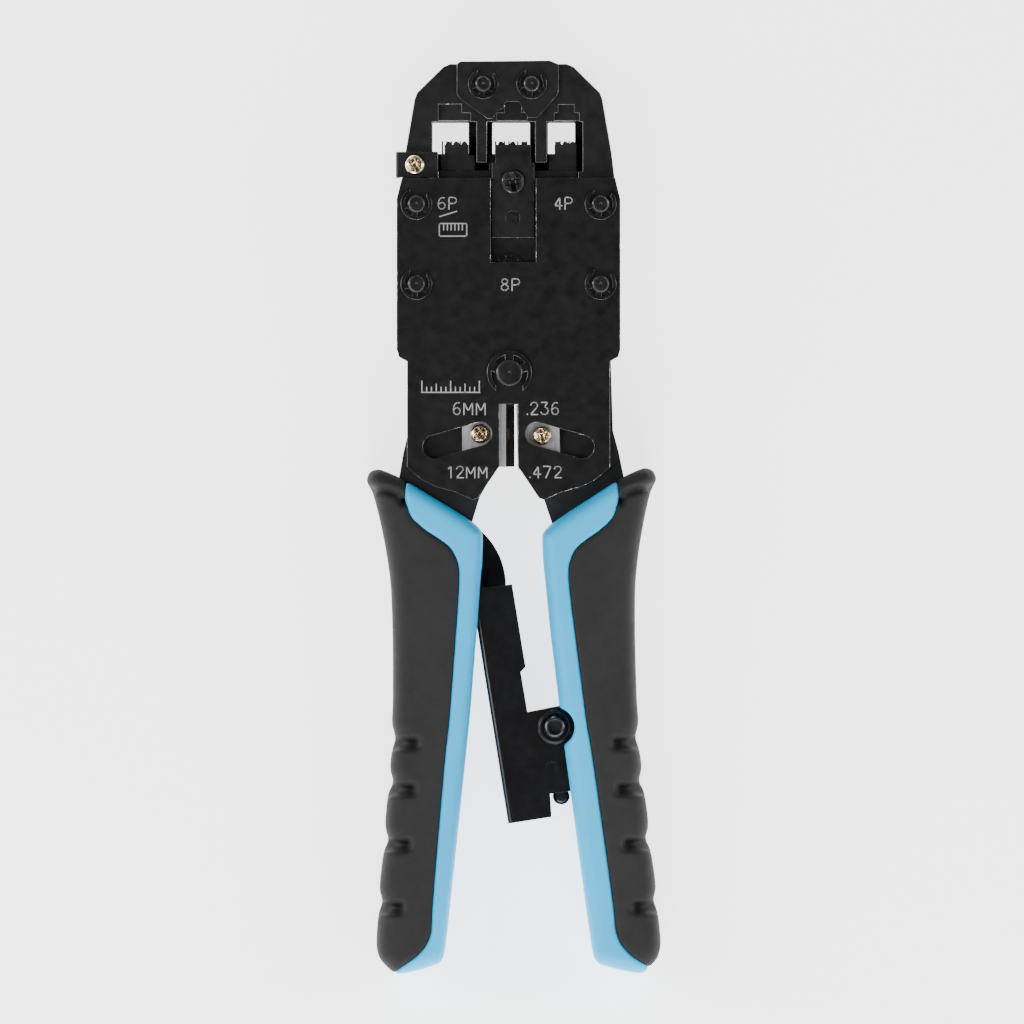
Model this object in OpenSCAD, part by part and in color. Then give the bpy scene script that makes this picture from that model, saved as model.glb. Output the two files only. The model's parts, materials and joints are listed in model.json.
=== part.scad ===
// Ratchet crimping tool for modular telephone and network plugs, lying flat on its back.
// +Y runs from the grips to the head, +Z is up from the table, all sizes in millimetres.

/* [Thickness layers] */
// half the thickness of the grips, from the mid plane to the table
grip_half = 11.5; // [11.5:0.1:11.8]
// mid plane to the inner face of each cover plate
cover_inner = 7.6; // [7.6:0.05:7.7]
// mid plane to the outer face of each cover plate
cover_outer = 9.6; // [9.4:0.1:9.6]
// mid plane to the inner face of each jaw plate
jaw_inner = 5.5; // [5.45:0.05:5.5]
// mid plane to the outer face of each jaw plate
jaw_outer = 7.5; // [7.4:0.05:7.5]
// mid plane to the outer face of each die plate
die_outer = 9.1; // [8.9:0.1:9.2]
// mid plane to the inner face of each lever plate
lever_inner = 2.9; // [2.8:0.1:2.9]
// mid plane to the outer face of each lever plate
lever_outer = 5.3; // [5.2:0.05:5.3]
// mid plane to the outer face of each carriage plate
carriage_outer = 6.7; // [6.6:0.05:6.7]
// mid plane to the front face of the locator tab
tab_outer = 8.2; // [8:0.1:8.4]
// mid plane to the front face of the blades
blade_outer = 6.9; // [6.5:0.1:6.9]

/* [Head] */
// half the width of the upper part of the covers
cover_wide = 25.7; // [25.5:0.1:26]
// half the width of the lower part of the covers
cover_narrow = 23.3; // [23.1:0.1:23.5]
// half the width of the stripping slot
slot_half = 2.16; // [2.1:0.02:2.2]
// half the spacing of the frame pins across the tool
pin_x = 21.16; // [21.1:0.02:21.2]
// height of the upper frame pins
upper_pin_y = 71.7; // [71.5:0.1:71.9]
// height of the lower frame pins, which the handles turn on
pivot_y = 53.3; // [53.2:0.1:53.4]
// frame pin radius
pin_r = 1.93; // [1.9:0.01:1.95]
// top pin radius
top_pin_r = 1.77; // [1.7:0.01:1.8]
// spring post radius
post_r = 3; // [2.8:0.1:3.1]

/* [Crimping carriage] */
// radius of the pin that the handles push
drive_pin_r = 2; // [1.95:0.01:2]
// height of the drive pin with the handles closed
drive_pin_y = 57.3; // [57.2:0.05:57.4]
// half the width of the carriage, which slides between the jaw legs
carriage_half = 15.8; // [15.6:0.05:15.85]
// top edge of the carriage
carriage_top = 79.4; // [79.2:0.1:79.5]
// top of the crimping punches with the handles closed
punch_top = 86.1; // [85.8:0.1:86.2]

/* [Ratchet] */
// lean of the ratchet channel from the tool's length, in degrees
ratchet_lean = 9; // [9:0.1:9.2]
// half the thickness of the toothed rack
rack_half = 1.2; // [1:0.05:1.25]
// tooth spacing on the rack
tooth_pitch = 2; // [1.8:0.1:2.1]
// tooth depth on the rack
tooth_depth = 0.9; // [0.7:0.05:1]
// running gap of each shaft in its moving hole
running_gap = 0.05; // [0.03:0.01:0.08]

/* [Hidden] */
$fn = 96;
head_shift = [-1.17, 0.43, grip_half];
handle_skew = 1.75;
left_pivot = [-pin_x, pivot_y];
right_pivot = [pin_x, pivot_y];
upper_pins = [[-pin_x, upper_pin_y], [pin_x, upper_pin_y]];
lower_pins = [left_pivot, right_pivot];
top_pins_at = [[-5.8, 99.3], [5.3, 99.3]];
post_at = [0.2, 32.9];
drive_at = [0, drive_pin_y];
rack_pin_at = [-12.3, -6.7];
rack_pin_r = 1.6;
channel_pivot = [10.67, -48.5];
channel_rivet_r = 2;
pawl_pin_at = [-2.2, -9];
pawl_pin_r = 1.2;
release_pin_at = [-1.05, -16];
release_pin_r = 1.4;
blade_screw_at = [-6.6, 18.9];
bracket_screw_at = [-21.5, 80.7];
m25_r = 1.25;
m3_r = 1.5;
dowel_r = 1.6;
handle_rivet_r = 1.5;
tab_screw_at = [0.99, 76.75];
tab_dowel_at = [0.99, 68.5];
handle_rivets_at = [[-14.5, 41.5], [-15.5, 8.5], [-20.6, -73]];
carriage_rivets_at = [[-10.5, 72.5], [10.5, 72.5]];
pocket_floor = 3;

// Outlines of one side of a symmetric plate, from the top edge down.
cover_side = [[24.5, 77.7], [cover_wide, 72.9], [cover_wide, 38.2], [25.2, 36.6],
    [cover_narrow, 35.6], [cover_narrow, 11.2], [19.8, 8.2], [16.6, 6.7], [12.2, 5.5],
    [8.2, 3.7], [7, 4.2], [slot_half, 11.4], [slot_half, 25.7]];
jaw_side = [[13.4, 103.9], [15, 103.2], [21, 97.3], [21.6, 95.8], [23.7, 83.5], [24.5, 76.9],
    [25, 72], [25, 50.5], [23.6, 49.1], [17.4, 49.1], [16, 50.5], [16, 60]];
anvil_side = [[13, 103.2], [14.7, 102.5], [20.3, 96.8], [21, 95.4], [22.8, 84], [22.8, 78],
    [17.6, 78], [17.6, 90.9]];
die_outline = [[-11.6, 104.2], [-10.9, 104.45], [9.5, 104.65], [11.5, 103.8], [11.5, 97.9],
    [11.3, 96.8], [7.2, 92.1], [6.5, 91.5], [4.6, 91.5], [4.05, 92.4], [3.4, 93], [2.8, 94.6],
    [2.3, 95.2], [-0.2, 95.2], [-0.8, 94.9], [-1.2, 93.7], [-2.4, 93.1], [-3.6, 91.3],
    [-4.9, 91.3], [-5.3, 91.6], [-11.1, 95.8], [-11.9, 96.9], [-11.9, 103.5]];

// Cavities for six, eight and four contact plugs: left and right edge of each.
front_windows = [[-17.5, -7.4], [-4.95, 6.1], [8.85, 17]];
rear_windows = [[-17.5, -9.2], [-3.7, 4.9], [9.1, 15.3]];
latch_notches = [[-16.05, -10.9, 94.6], [-10.95, -8.8, 92.6], [-0.8, 2.9, 95.2],
    [-2.6, 4.2, 92.6], [11.5, 15, 94.5], [10.6, 16.2, 92.6]];
window_top = 90.6;
web_foot = 81.2;
back_panel_half = 18;
back_panel_top = 83.5;

// Lever and grip outlines of the left handle. The right handle is their mirror image.
lever_arm = [[-23.6, 59.3], [-25.3, 57.5], [-25.3, 50], [-20, 45], [-9.5, 46.5], [-4, 49.3],
    [-0.3, 50.63], [-0.3, 57], [-1.7, 57.5], [-2.53, 61.9], [-14.3, 59.9]];
lever_bar = [[-25.3, 54], [-25.3, 40], [-23, 36.5], [-23, 19.5], [-24.2, 14.5], [-25.3, 8],
    [-25.2, -8], [-23.6, -25], [-23.6, -55], [-24.6, -78], [-17.5, -80], [-14.8, -55],
    [-12.6, -25], [-9.3, -8], [-8.3, -1.2], [-6.6, 4.4], [-2.7, 11.2], [-2.7, 26.3],
    [-7.8, 28], [-8.6, 38], [-9.5, 46.5], [-14, 56]];
grip_outline = [[-24.1, 8.4], [-27.1, 9.8], [-30, 10.9], [-32, 10.2], [-32.8, 8],
    [-31.2, 5.4], [-29.5, -1.2], [-28.1, -8.2], [-27.1, -15.3],
    [-26.8, -22], [-26.6, -30], [-26.6, -43.5], [-26.9, -47.6], [-25.9, -51.1], [-26.9, -54.1],
    [-27.3, -58.2], [-26.4, -61.1], [-27.8, -63.9], [-28.5, -71.3], [-27.5, -74.5],
    [-28.8, -77.1], [-29.8, -85.6], [-28.9, -88.6], [-30, -91.5],
    [-30.5, -98.7], [-29.7, -101.9], [-27.1, -104.5], [-25.7, -105.5], [-20.1, -104.3],
    [-15.8, -102.9], [-14.7, -101], [-14, -95.4], [-10, -57.5], [-8.8, -45.8], [-7.9, -34],
    [-7.2, -27], [-6.5, -16.7], [-6, -10.6], [-5.9, -4.7], [-6.1, -3.4], [-8.3, -1.2]];
shell_side = [[-23, 9], [-23.6, 5.8], [-23.4, 3.5], [-22.4, -0.2], [-19.1, -3.1], [-15.4, -5.4],
    [-13, -7.3], [-11.4, -10.6], [-11.1, -13.4], [-11.4, -20], [-12.1, -29.4], [-12.8, -38.8],
    [-13.5, -48.1], [-14.2, -53.1], [-17.3, -89.2], [-17.5, -95.8], [-18.7, -98.7],
    [-21, -101.4], [-26.4, -105.2], [-26.4, -108], [0, -108], [0, 9]];
grip_steps = [[8, 0], [10.2, 0.7], [grip_half, 2]];
finger_grooves = [[-22.3, -52.4], [-22.9, -63], [-24, -75.7], [-25.7, -90.2]];
groove_half = 1.7;
left_rack_room = [[-20, 4], [0, 4], [0, -50], [-9.5, -50], [-14, -30], [-20, -20]];
left_channel_room = [[-10, -12.5], [0, -12.5], [0, -50], [-4.5, -50], [-8.6, -26]];
right_channel_room = [[5, -39], [17.5, -40], [20, -44], [23.2, -50], [23.4, -61], [20.5, -66.2],
    [18.8, -69.4], [14, -73.3], [5, -79]];
ear_neck = [[-10.67, -44.3], [-20, -40], [-21.5, -54.5], [-16, -54], [-10.67, -52.7]];

// Ratchet outlines in the channel's own axes, with the channel pivot at the origin.
flange_outline = [[-14.1, -20.3], [-4, -20.3], [-3.5, -15], [4.2, -15.2], [4.2, 2.8],
    [2.2, 4.6], [-5.7, 4.3], [-5.8, 13.7], [-4.5, 14.7], [-4.6, 33.9], [-14.1, 34.4]];
pawl_outline = [[-5.8, -3], [-5.6, -4.4], [-4.2, -7.5], [-3.3, -11], [-2.7, -16], [0.6, -16],
    [0.3, -10], [-0.6, -7.5], [-3.4, -3.2], [-5, -2.2]];
pawl_eye_r = 1.95;
flange_inner = 5.4;
flange_outer = 6.5;
web_x = -14.1;
web_inner_x = -12.9;
rack_left = -12.2;
rack_right = -5.95;
rack_bottom = -19.5;
tooth_count = 7;
guide_right = -6.1;
arm_arc_at = [-17.6, -16.1];
arm_arc_r = 17;
arm_region = [[-14, -1.5], [-8, 3], [2, 3], [2, -16.5], [-0.4, -16.5], [-6.1, -21],
    [-6.7, -15.9], [-11.5, -13]];
slot_run = [-3.41, -3.38];
eye_r = 4.4;
eye_slot_r = 2.05;

function reversed(side) = [for (i = [len(side) - 1:-1:0]) side[i]];

function mirrored(side) = [for (corner = side) [-corner[0], corner[1]]];

function unit(v) = v / norm(v);

function edge_normal(a, b) = unit([b[1] - a[1], a[0] - b[0]]);

// Outline moved in by a distance, point by point, for outlines that run anticlockwise.
function inset(points, distance) = [for (i = [0:len(points) - 1])
    points[i] - distance * unit(
        edge_normal(points[(i + len(points) - 1) % len(points)], points[i])
        + edge_normal(points[i], points[(i + 1) % len(points)]))];

// A flat layer between two distances from the mid plane, side 1 in front and -1 behind.
module layer(inner, outer, side) {
    translate([0, 0, side > 0 ? inner : -outer])
        linear_extrude(outer - inner)
            children();
}

module middle(half) {
    layer(-half, half, 1)
        children();
}

module both_sides(inner, outer) {
    for (side = [-1, 1])
        layer(inner, outer, side)
            children();
}

module upright(from_z, to_z, radius) {
    translate([0, 0, from_z])
        cylinder(h = to_z - from_z, r = radius);
}

module rectangle(x0, y0, x1, y1) {
    translate([x0, y0])
        square([x1 - x0, y1 - y0]);
}

module dots(places, radius) {
    for (place = places)
        translate(place)
            circle(radius);
}

module symmetric(side) {
    polygon(concat(mirrored(side), reversed(side)));
}

// Spring clip with three inner prongs, opening towards the given angle.
module clip_outline(pin, ring_inner, ring_outer, opening) {
    rotate(opening) {
        difference() {
            circle(ring_outer);
            circle(ring_inner);
            rectangle(0, -pin, ring_outer + 1, pin);
        }
        for (turn = [110, 180, 250])
            rotate(turn)
                difference() {
                    rectangle(pin * 0.8, -pin * 0.35, ring_inner + 0.2, pin * 0.35);
                    circle(pin);
                }
    }
}

// Headed pin: head at the back resting on the table, plain end in front.
module headed_pin(shaft_r, head_r, head_front, tip) {
    upright(-grip_half, head_front, head_r);
    upright(head_front, tip, shaft_r);
}

module cross_recess(top, reach, depth) {
    for (turn = [0, 90])
        rotate(turn)
            translate([-reach, -reach * 0.22, top - depth])
                cube([2 * reach, reach * 0.44, depth + 1]);
}

module pan_screw(shank_from, seat, top, shank_r, head_r) {
    upright(shank_from, seat, shank_r);
    difference() {
        union() {
            upright(seat, top - 0.35, head_r);
            upright(top - 0.35, top, head_r - 0.45);
        }
        cross_recess(top, head_r * 0.55, 0.7);
    }
}

// The right handle is the left one mirrored and swung out by the play in the linkage.
module right_handle_place() {
    translate(right_pivot)
        rotate(handle_skew)
            translate(-right_pivot)
                mirror([1, 0, 0])
                    children();
}

module ratchet_place() {
    translate(channel_pivot)
        rotate(ratchet_lean)
            children();
}

// Frame

module cover_plate(side) {
    slot_ends = [[6.5, 18.9], [17.05, 15.9]];
    slot_reach = norm(slot_ends[1] - slot_ends[0]);
    slot_turn = atan2(slot_ends[1][1] - slot_ends[0][1], slot_ends[1][0] - slot_ends[0][0]);
    screw_slot_r = 2.65;
    color("#1b1c1e")
        layer(cover_inner, cover_outer, side)
            difference() {
                union() {
                    symmetric(cover_side);
                    children();
                }
                dots(upper_pins, pin_r);
                dots(lower_pins, pin_r);
                translate(post_at)
                    circle(post_r);
                rectangle(-4.1, 58.3, 6.3, 78);
                for (flip = [0, 1])
                    mirror([flip, 0])
                        translate(slot_ends[0])
                            rotate(slot_turn) {
                                dots([[0, 0], [slot_reach, 0]], screw_slot_r);
                                rectangle(0, -screw_slot_r, slot_reach, screw_slot_r);
                            }
            }
}

module front_cover_plate() {
    cover_plate(1);
}

// Taller than the front cover, so that it closes the travel gap under the cavities.
module rear_cover_plate() {
    cover_plate(-1)
        rectangle(-back_panel_half, 77, back_panel_half, back_panel_top);
}

module jaw_plate(side, windows) {
    color("#202124")
        layer(jaw_inner, jaw_outer, side)
            difference() {
                symmetric(jaw_side);
                for (window = windows)
                    rectangle(window[0], web_foot - 2, window[1], window_top);
                rectangle(-16, 55, 16, web_foot);
                dots(upper_pins, pin_r);
                dots(lower_pins, pin_r);
                dots(top_pins_at, top_pin_r);
                children();
            }
}

module front_jaw_plate() {
    jaw_plate(1, front_windows) {
        for (notch = latch_notches)
            rectangle(notch[0], window_top - 0.5, notch[1], notch[2]);
        translate(bracket_screw_at)
            circle(m25_r);
    }
}

module rear_jaw_plate() {
    jaw_plate(-1, rear_windows);
}

module die_plate(side) {
    color("#26272a")
        layer(jaw_outer, die_outer, side)
            difference() {
                polygon(die_outline);
                dots(top_pins_at, top_pin_r);
            }
}

module front_die_plate() {
    die_plate(1);
}

module rear_die_plate() {
    die_plate(-1);
}

module anvil_block() {
    color("#3a3b3e")
        middle(jaw_inner)
            difference() {
                union() {
                    symmetric(anvil_side);
                    rectangle(front_windows[0][1], web_foot, front_windows[1][0], 95);
                    rectangle(front_windows[1][1], web_foot, front_windows[2][0], 95);
                }
                dots(top_pins_at, top_pin_r);
            }
}

module top_pins() {
    color("#2a2b2e")
        for (place = top_pins_at)
            translate(place)
                headed_pin(top_pin_r, 3.3, -die_outer, 10.6);
}

module top_pin_clips() {
    color("#232427")
        for (place = top_pins_at)
            translate(place)
                layer(die_outer, die_outer + 0.6, 1)
                    clip_outline(top_pin_r, 2.6, 3.5, 80);
}

module frame_pins() {
    color("#2a2b2e")
        for (place = concat(upper_pins, lower_pins))
            translate(place)
                headed_pin(pin_r, 3.5, -cover_outer, 10.9);
}

module frame_pin_clips() {
    color("#232427")
        for (place = concat(upper_pins, lower_pins))
            translate(place)
                layer(cover_outer, cover_outer + 0.6, 1)
                    clip_outline(pin_r, 2.8, 3.65, 80);
}

module pin_spacers() {
    spacer_r = 3.4;
    color("#4a4b4e") {
        middle(jaw_inner)
            difference() {
                dots(upper_pins, spacer_r);
                dots(upper_pins, pin_r);
            }
        middle(lever_inner - running_gap)
            difference() {
                dots(lower_pins, spacer_r);
                dots(lower_pins, pin_r);
            }
    }
}

module spring_post() {
    color("#2a2b2e")
        translate(post_at)
            headed_pin(post_r, 4.4, -cover_outer, 11.1);
}

module spring_post_clip() {
    color("#232427")
        translate(post_at)
            layer(cover_outer, cover_outer + 0.8, 1)
                clip_outline(post_r, 4.1, 5.2, 270);
}

module return_spring() {
    coil_r = 4.3;
    wire_r = 0.5;
    leg_turn = 65.35;
    leg_length = 14.8;
    color("#8a8c90")
        translate(post_at) {
            for (z = [-1.65, -0.55, 0.55, 1.65])
                translate([0, 0, z])
                    rotate_extrude()
                        translate([coil_r, 0])
                            circle(wire_r);
            for (flip = [0, 1])
                mirror([flip, 0, 0])
                    rotate(leg_turn)
                        translate([coil_r, 0, flip > 0 ? 1.65 : -1.65])
                            rotate([-90, 0, 0])
                                cylinder(h = leg_length, r = wire_r * 0.9);
        }
}

module side_bracket() {
    sheet = 1;
    edge_x = -25.9;
    color("#2b2c2f")
        difference() {
            union() {
                layer(jaw_outer, jaw_outer + sheet, 1)
                    rectangle(edge_x, 77.8, -16.2, 83.7);
                layer(-4, jaw_outer + sheet, 1)
                    rectangle(edge_x, 77.8, edge_x + sheet, 83.7);
            }
            translate(bracket_screw_at)
                upright(jaw_outer - 1, jaw_outer + sheet + 1, m25_r);
        }
}

module bracket_screw() {
    color("#c9b48a")
        translate(bracket_screw_at)
            pan_screw(jaw_inner, jaw_outer + 1, jaw_outer + 2.4, m25_r, 2.3);
}

// Carriage

module carriage_plate(side) {
    color("#242528")
        layer(jaw_inner, carriage_outer, side)
            difference() {
                union() {
                    rectangle(-carriage_half, 64, carriage_half, carriage_top);
                    rectangle(-8, 51.5, 8, 64);
                }
                translate(drive_at)
                    circle(drive_pin_r);
                dots(carriage_rivets_at, m25_r);
                children();
            }
}

module carriage_front_plate() {
    carriage_plate(1) {
        translate(tab_screw_at)
            circle(m3_r);
        translate(tab_dowel_at)
            circle(dowel_r);
    }
}

module carriage_rear_plate() {
    carriage_plate(-1);
}

module carriage_block() {
    color("#35363a")
        difference() {
            middle(jaw_inner)
                difference() {
                    rectangle(0.1 - carriage_half, 66, carriage_half - 0.1, carriage_top);
                    dots(carriage_rivets_at, m25_r);
                }
            translate(tab_screw_at)
                upright(pocket_floor, jaw_inner + 1, m3_r);
            translate(tab_dowel_at)
                upright(pocket_floor, jaw_inner + 1, dowel_r);
        }
}

module carriage_rivets() {
    color("#2e2f32")
        for (place = carriage_rivets_at)
            translate(place)
                upright(-carriage_outer, carriage_outer, m25_r);
}

// Punch with a low base and a wavy strain ridge in front.
module punch(base_left, base_right, ridge_left, ridge_right) {
    base_top = 83;
    bump_r = 0.7;
    bumps = 3;
    step = (ridge_right - ridge_left) / bumps;
    color("#4a4c50") {
        middle(jaw_inner - 0.1)
            rectangle(base_left, carriage_top, base_right, base_top);
        layer(0.8, jaw_inner - 0.1, 1) {
            rectangle(ridge_left, base_top, ridge_right, punch_top - bump_r);
            intersection() {
                rectangle(ridge_left, base_top, ridge_right, punch_top);
                dots([for (i = [0:bumps - 1])
                    [ridge_left + (i + 0.5) * step, punch_top - bump_r]], bump_r);
            }
        }
    }
}

module punch_6p() {
    punch(-15.6, -7.8, -14.7, -9.2);
}

module punch_8p() {
    punch(-4.5, 5.6, -3, 4.95);
}

module punch_4p() {
    punch(9.3, 15.6, 10.6, 15.6);
}

// Thin blades that press the plug contacts home: six, eight and four of them.
module contact_blades() {
    contact_pitch = 1.02;
    blade_width = 0.35;
    color("#a9abb0")
        for (comb = [[-12.65, 6], [0.6, 8], [12.4, 4]])
            for (i = [0:comb[1] - 1])
                layer(1.2, 4.8, -1)
                    translate([comb[0] + (i - (comb[1] - 1) / 2) * contact_pitch, 83])
                        rectangle(-blade_width / 2, 0, blade_width / 2, 3.3);
}

module locator_tab() {
    step_back = 0.8;
    tab_top = 85.2;
    color("#2a2b2e")
        difference() {
            union() {
                layer(carriage_outer, tab_outer, 1)
                    rectangle(-3.82, 63.95, 5.93, 81.2);
                translate([-3, 0, 0])
                    rotate([90, 0, 90])
                        linear_extrude(8.2)
                            polygon([[80.8, carriage_outer], [81.6, carriage_outer],
                                [82.8, carriage_outer - step_back],
                                [tab_top, carriage_outer - step_back],
                                [tab_top, tab_outer - step_back], [83.2, tab_outer - step_back],
                                [82, tab_outer], [80.8, tab_outer]]);
            }
            translate(tab_screw_at)
                upright(carriage_outer - 1, tab_outer + 1, m3_r);
            translate(tab_dowel_at)
                upright(carriage_outer - 1, tab_outer + 1, dowel_r);
        }
}

module locator_screw() {
    color("#1f2023")
        translate(tab_screw_at)
            pan_screw(pocket_floor, tab_outer, tab_outer + 1.4, m3_r, 2.8);
}

module locator_dowel() {
    color("#3c3d40")
        translate(tab_dowel_at)
            upright(pocket_floor, tab_outer, dowel_r);
}

module drive_pin() {
    color("#3c3d40")
        translate(drive_at)
            upright(0.15 - cover_inner, cover_inner - 0.15, drive_pin_r);
}

module drive_pin_clips() {
    color("#55575b")
        translate(drive_at)
            both_sides(carriage_outer, carriage_outer + 0.6)
                clip_outline(drive_pin_r, 2.6, 3.36, 270);
}

// Handles

// Open slot for the drive pin, which runs a little towards the pivot as the lever turns.
module lever_fork() {
    fork_gap = 0.25;
    fork_run = 0.3;
    slot = drive_pin_r + fork_gap;
    translate(drive_at)
        rotate(atan2(drive_pin_y - pivot_y, pin_x)) {
            translate([-fork_run, 0])
                circle(slot);
            rectangle(-fork_run, -slot, 8, slot);
        }
}

// Whole lever outline of the left handle, its bar swung out by the given angle.
module lever_outline(bar_swing) {
    difference() {
        union() {
            difference() {
                polygon(lever_arm);
                lever_fork();
            }
            translate(left_pivot)
                rotate(-bar_swing)
                    translate(-left_pivot)
                        polygon(lever_bar);
        }
        translate(left_pivot)
            circle(pin_r + running_gap);
    }
}

module left_lever_2d() {
    difference() {
        lever_outline(0);
        dots(handle_rivets_at, handle_rivet_r);
        translate(rack_pin_at)
            circle(rack_pin_r);
    }
}

module right_lever_2d() {
    difference() {
        mirror([1, 0]) {
            lever_outline(handle_skew);
            polygon(ear_neck);
            translate([-channel_pivot[0], channel_pivot[1]])
                circle(4.2);
        }
        rectangle(5, -70, 20.3, -55);
        translate(channel_pivot)
            circle(channel_rivet_r + running_gap);
        right_handle_place()
            dots(handle_rivets_at, handle_rivet_r);
    }
}

module blade_screw_hole() {
    translate(blade_screw_at)
        circle(m25_r);
}

module left_front_lever() {
    color("#1d1e20")
        layer(lever_inner, lever_outer, 1)
            difference() {
                left_lever_2d();
                blade_screw_hole();
            }
}

module left_rear_lever() {
    color("#1d1e20")
        layer(lever_inner, lever_outer, -1)
            left_lever_2d();
}

module right_front_lever() {
    color("#1d1e20")
        layer(lever_inner, lever_outer, 1)
            difference() {
                right_lever_2d();
                right_handle_place()
                    blade_screw_hole();
            }
}

module right_rear_lever() {
    color("#1d1e20")
        layer(lever_inner, lever_outer, -1)
            right_lever_2d();
}

module lever_rivets() {
    color("#3c3d40")
        for (place = handle_rivets_at)
            translate(place) {
                upright(-lever_outer, lever_outer, handle_rivet_r);
                upright(-lever_inner, lever_inner, handle_rivet_r + 1);
            }
}

module left_lever_rivets() {
    lever_rivets();
}

module right_lever_rivets() {
    right_handle_place()
        lever_rivets();
}

// Stripping blade: flat plate with one long bevelled edge.
module blade(left, right, edge_top) {
    bevel = 2;
    color("#b9bcc0")
        difference() {
            translate([0, 26.1, 0])
                rotate([90, 0, 0])
                    linear_extrude(14.8)
                        polygon(edge_top
                            ? [[left, lever_outer], [right - bevel, lever_outer],
                                [right, blade_outer], [left, blade_outer]]
                            : [[left, lever_outer], [right, lever_outer],
                                [right - bevel, blade_outer], [left, blade_outer]]);
            translate(blade_screw_at)
                upright(lever_outer - 1, blade_outer + 1, m25_r);
        }
}

module left_blade() {
    blade(-10.7, 1.4, false);
}

module right_blade() {
    right_handle_place()
        blade(-10.7, -0.9, true);
}

module blade_screw() {
    color("#c9b48a")
        translate(blade_screw_at)
            pan_screw(lever_inner, blade_outer, blade_outer + 1.4, m25_r, 2.2);
}

module left_blade_screw() {
    blade_screw();
}

module right_blade_screw() {
    right_handle_place()
        blade_screw();
}

// One layer of the grip at a distance from the mid plane, rounded in three steps.
module grip_solid() {
    for (i = [0:len(grip_steps) - 1])
        if (i == 0)
            middle(grip_steps[0][0])
                grip_slice(grip_steps[0][1]) children();
        else
            both_sides(grip_steps[i - 1][0], grip_steps[i][0])
                grip_slice(grip_steps[i][1]) children();
}

module grip_slice(distance) {
    intersection() {
        polygon(inset(grip_outline, distance));
        children();
    }
}

module tang_cavity() {
    middle(lever_outer)
        polygon(lever_bar);
}

module groove_cut() {
    for (groove = finger_grooves)
        both_sides(10.2, grip_half + 1) {
            translate(groove)
                circle(groove_half);
            rectangle(groove[0] - 12, groove[1] - groove_half, groove[0],
                groove[1] + groove_half);
        }
}

module grip_shell() {
    difference() {
        grip_solid()
            polygon(shell_side);
        tang_cavity();
    }
}

module grip_cover() {
    difference() {
        grip_solid()
            difference() {
                rectangle(-40, -110, 0, 20);
                polygon(shell_side);
            }
        tang_cavity();
        groove_cut();
    }
}

module left_rooms() {
    middle(lever_inner)
        polygon(left_rack_room);
    middle(flange_outer + 0.5)
        polygon(left_channel_room);
}

module right_rooms() {
    middle(flange_outer + 0.5)
        polygon(right_channel_room);
    translate(channel_pivot)
        upright(-grip_half - 1, grip_half + 1, 4.7);
    middle(lever_outer)
        mirror([1, 0])
            polygon(ear_neck);
}

module left_grip_shell() {
    color("#3fb4de")
        difference() {
            grip_shell();
            left_rooms();
        }
}

module left_grip_cover() {
    color("#3d3e40")
        difference() {
            grip_cover();
            left_rooms();
        }
}

module right_grip_shell() {
    color("#3fb4de")
        difference() {
            right_handle_place()
                grip_shell();
            right_rooms();
        }
}

module right_grip_cover() {
    color("#3d3e40")
        difference() {
            right_handle_place()
                grip_cover();
            right_rooms();
        }
}

module rack_pin() {
    color("#3c3d40")
        translate(rack_pin_at)
            upright(-lever_outer, lever_outer, rack_pin_r);
}

module rack_pin_washers() {
    color("#55575b")
        translate(rack_pin_at)
            both_sides(rack_half + 0.1, lever_inner)
                difference() {
                    circle(3);
                    circle(rack_pin_r);
                }
}

// Ratchet

module ratchet_channel() {
    color("#18191b")
        ratchet_place() {
            both_sides(flange_inner, flange_outer)
                difference() {
                    polygon(flange_outline);
                    circle(channel_rivet_r);
                    translate(pawl_pin_at)
                        circle(pawl_pin_r);
                }
            middle(flange_inner)
                rectangle(web_x, -20.3, web_inner_x, 34.4);
        }
}

module channel_rivet() {
    color("#5a5c60")
        ratchet_place() {
            upright(-8.6, 8.6, channel_rivet_r);
            both_sides(flange_outer, flange_outer + 0.9)
                circle(4);
            both_sides(flange_outer + 0.9, 8.6)
                circle(2.9);
        }
}

module rack_guides() {
    color("#2e2f32")
        ratchet_place()
            both_sides(rack_half + 0.1, flange_inner)
                rectangle(web_inner_x, -19, guide_right, 33);
}

module pawl_pin() {
    color("#3c3d40")
        ratchet_place()
            translate(pawl_pin_at)
                upright(-flange_outer, flange_outer, pawl_pin_r);
}

module pawl_spring() {
    color("#8a8c90")
        ratchet_place()
            translate(pawl_pin_at)
                for (z = [1.9, 2.7, 3.5])
                    translate([0, 0, z])
                        rotate_extrude()
                            translate([1.75, 0])
                                circle(0.33);
}

module rack_teeth() {
    for (i = [0:tooth_count - 1])
        translate([rack_right, rack_bottom + 0.8 + i * tooth_pitch])
            polygon([[1, 0], [0, 0], [-tooth_depth, tooth_pitch * 0.8],
                [0, tooth_pitch * 0.85], [1, tooth_pitch * 0.85]]);
    rectangle(rack_right - tooth_depth, -4.6, rack_right + 1, -1.4);
}

module rack_eye(radius) {
    run = norm(slot_run);
    translate(rack_pin_at)
        rotate(atan2(slot_run[1], slot_run[0])) {
            dots([[0, 0], [run, 0]], radius);
            rectangle(0, -radius, run, radius);
        }
}

module ratchet_rack() {
    color("#2a2b2e")
        middle(rack_half)
            difference() {
                union() {
                    ratchet_place()
                        difference() {
                            rectangle(rack_left, rack_bottom, rack_right, 32);
                            rack_teeth();
                        }
                    intersection() {
                        translate(arm_arc_at)
                            circle(arm_arc_r);
                        polygon(arm_region);
                    }
                    rack_eye(eye_r);
                }
                rack_eye(eye_slot_r);
            }
}

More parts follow.
